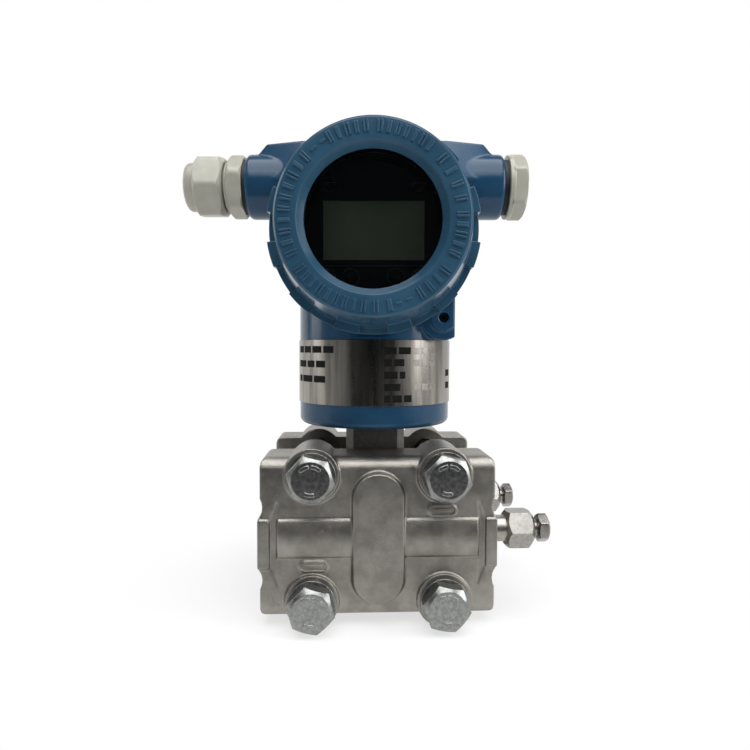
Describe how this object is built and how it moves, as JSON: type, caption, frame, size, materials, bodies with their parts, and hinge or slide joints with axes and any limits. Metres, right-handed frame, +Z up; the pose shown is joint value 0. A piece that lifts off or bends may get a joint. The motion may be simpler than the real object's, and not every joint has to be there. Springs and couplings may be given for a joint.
{
  "type": "differential pressure transmitter",
  "caption": "Differential pressure transmitter: blue windowed housing on a round hub above a stainless cell clamped between two process flanges.",
  "frame": {"origin": "centre of the left-hand process bolt pattern, midway between both process ports", "axes": "+Z up along the housing's turning axis, -X out of the process ports, -Y towards the display"},
  "size_m": [0.1488, 0.1118, 0.1918],
  "materials": {
    "cast_stainless": "blasted investment casting with a fine satin grain",
    "machined_stainless": "turned and milled stainless, satin",
    "bolt_steel": "zinc-coated high-tensile steel, dull",
    "blue_paint": "semi-gloss blue powder paint over cast aluminium",
    "name_band_steel": "polished stainless strip",
    "small_screw_steel": "machined steel screws",
    "standoff_brass": "turned brass",
    "circuit_board": "solder-masked board",
    "black_moulding": "moulded black plastic",
    "key_rubber": "dark key caps",
    "display_glass": "unlit olive display panel",
    "window_glass": "clear toughened glass",
    "retainer_metal": "black anodised ring",
    "black_rubber": "black rubber",
    "white_seal": "white fluoropolymer",
    "grey_nylon": "light warm-grey moulded nylon"
  },
  "bodies": {
    "sensor": {"process_flange_front": "cast_stainless", "process_flange_rear": "cast_stainless", "sensor_cell": "machined_stainless", "neck_oring": "black_rubber", "isolating_diaphragm_front": "machined_stainless", "isolating_diaphragm_rear": "machined_stainless", "flange_seal_front": "white_seal", "flange_seal_rear": "white_seal", "flange_bolts": "bolt_steel", "flange_washers": "bolt_steel", "flange_nuts": "bolt_steel", "vent_valve_body_front": "machined_stainless", "vent_valve_body_rear": "machined_stainless"},
    "housing": {"housing": "blue_paint", "nameplate_band": "name_band_steel", "nameplate_rivets": "name_band_steel", "cover_lock_screws": "small_screw_steel", "rotation_lock_screw": "small_screw_steel", "earth_clamp": "small_screw_steel", "earth_screw": "small_screw_steel", "lower_standoffs": "standoff_brass", "electronics_board": "circuit_board", "upper_standoffs": "standoff_brass", "display_board": "circuit_board", "display_frame": "black_moulding", "lcd_panel": "display_glass", "display_screws": "small_screw_steel", "partition_feedthrough": "black_moulding", "terminal_block": "black_moulding", "terminal_screws": "small_screw_steel", "inner_earth_screw": "small_screw_steel", "gland_body": "grey_nylon", "gland_washer": "black_rubber"},
    "front_cover_seal": {"front_cover_oring": "black_rubber"},
    "front_cover": {"front_cover": "blue_paint", "front_cover_glass": "window_glass", "glass_gasket": "black_rubber", "glass_retainer": "retainer_metal"},
    "rear_cover_seal": {"rear_cover_oring": "black_rubber"},
    "rear_cover": {"rear_cover": "blue_paint"},
    "gland_seal": {"gland_seal": "black_rubber"},
    "gland_nut": {"gland_nut": "grey_nylon"},
    "plug_seal": {"plug_washer": "black_rubber"},
    "blanking_plug": {"blanking_plug": "grey_nylon"},
    "bleed_ball_front": {"bleed_ball_front": "machined_stainless"},
    "bleed_screw_front": {"bleed_screw_front": "machined_stainless"},
    "bleed_ball_rear": {"bleed_ball_rear": "machined_stainless"},
    "bleed_screw_rear": {"bleed_screw_rear": "machined_stainless"},
    "button_left": {"button_left": "key_rubber"},
    "button_right": {"button_right": "key_rubber"}
  },
  "joints": [
    {"name": "housing_rotation", "type": "hinge", "parent": "sensor", "child": "housing", "pos_m": [0.0445, 0, 0.04], "axis": [0, 0, 1], "range_deg": [-180, 180]},
    {"name": "front_cover_travel", "type": "slide", "parent": "housing", "child": "front_cover_seal", "axis": [-0.0558, -0.9984, 0], "range_m": [0, 0.01]},
    {"name": "front_cover_turn", "type": "hinge", "parent": "front_cover_seal", "child": "front_cover", "pos_m": [0.04275, -0.03125, 0.116], "axis": [-0.0558, -0.9984, 0], "range_deg": [0, 1800]},
    {"name": "rear_cover_travel", "type": "slide", "parent": "housing", "child": "rear_cover_seal", "axis": [0.0558, 0.9984, 0], "range_m": [0, 0.01]},
    {"name": "rear_cover_turn", "type": "hinge", "parent": "rear_cover_seal", "child": "rear_cover", "pos_m": [0.04625, 0.03125, 0.116], "axis": [0.0558, 0.9984, 0], "range_deg": [0, 1800]},
    {"name": "gland_nut_travel", "type": "slide", "parent": "housing", "child": "gland_seal", "axis": [-0.9984, 0.0558, 0], "range_m": [0, 0.0045]},
    {"name": "gland_nut_turn", "type": "hinge", "parent": "gland_seal", "child": "gland_nut", "pos_m": [-0.0188, 0.00354, 0.1405], "axis": [-0.9984, 0.0558, 0], "range_deg": [0, 1080]},
    {"name": "blanking_plug_travel", "type": "slide", "parent": "housing", "child": "plug_seal", "axis": [0.9984, -0.0558, 0], "range_m": [0, 0.0075]},
    {"name": "blanking_plug_turn", "type": "hinge", "parent": "plug_seal", "child": "blanking_plug", "pos_m": [0.09842, -0.00301, 0.1405], "axis": [0.9984, -0.0558, 0], "range_deg": [0, 1800]},
    {"name": "bleed_screw_front_travel", "type": "slide", "parent": "sensor", "child": "bleed_ball_front", "axis": [1, 0, 0], "range_m": [0, 0.0015]},
    {"name": "bleed_screw_front_turn", "type": "hinge", "parent": "bleed_ball_front", "child": "bleed_screw_front", "pos_m": [0.1064, -0.027, 0], "axis": [1, 0, 0], "range_deg": [0, 540]},
    {"name": "bleed_screw_rear_travel", "type": "slide", "parent": "sensor", "child": "bleed_ball_rear", "axis": [1, 0, 0], "range_m": [0, 0.0015]},
    {"name": "bleed_screw_rear_turn", "type": "hinge", "parent": "bleed_ball_rear", "child": "bleed_screw_rear", "pos_m": [0.1064, 0.027, 0], "axis": [1, 0, 0], "range_deg": [0, 540]},
    {"name": "button_left_press", "type": "slide", "parent": "housing", "child": "button_left", "axis": [0.0558, 0.9984, 0], "range_m": [0, 0.0008], "stiffness_N_per_m": 1200},
    {"name": "button_right_press", "type": "slide", "parent": "housing", "child": "button_right", "axis": [0.0558, 0.9984, 0], "range_m": [0, 0.0008], "stiffness_N_per_m": 1200}
  ],
  "couplings": [
    {"joint": "front_cover_travel", "follows": "front_cover_turn", "m_per_rad": 0.0003183},
    {"joint": "rear_cover_travel", "follows": "rear_cover_turn", "m_per_rad": 0.0003183},
    {"joint": "gland_nut_travel", "follows": "gland_nut_turn", "m_per_rad": 0.00023873},
    {"joint": "blanking_plug_travel", "follows": "blanking_plug_turn", "m_per_rad": 0.00023873},
    {"joint": "bleed_screw_front_turn", "follows": "bleed_screw_front_travel", "rad_per_m": 6283.2},
    {"joint": "bleed_screw_rear_turn", "follows": "bleed_screw_rear_travel", "rad_per_m": 6283.2}
  ]
}
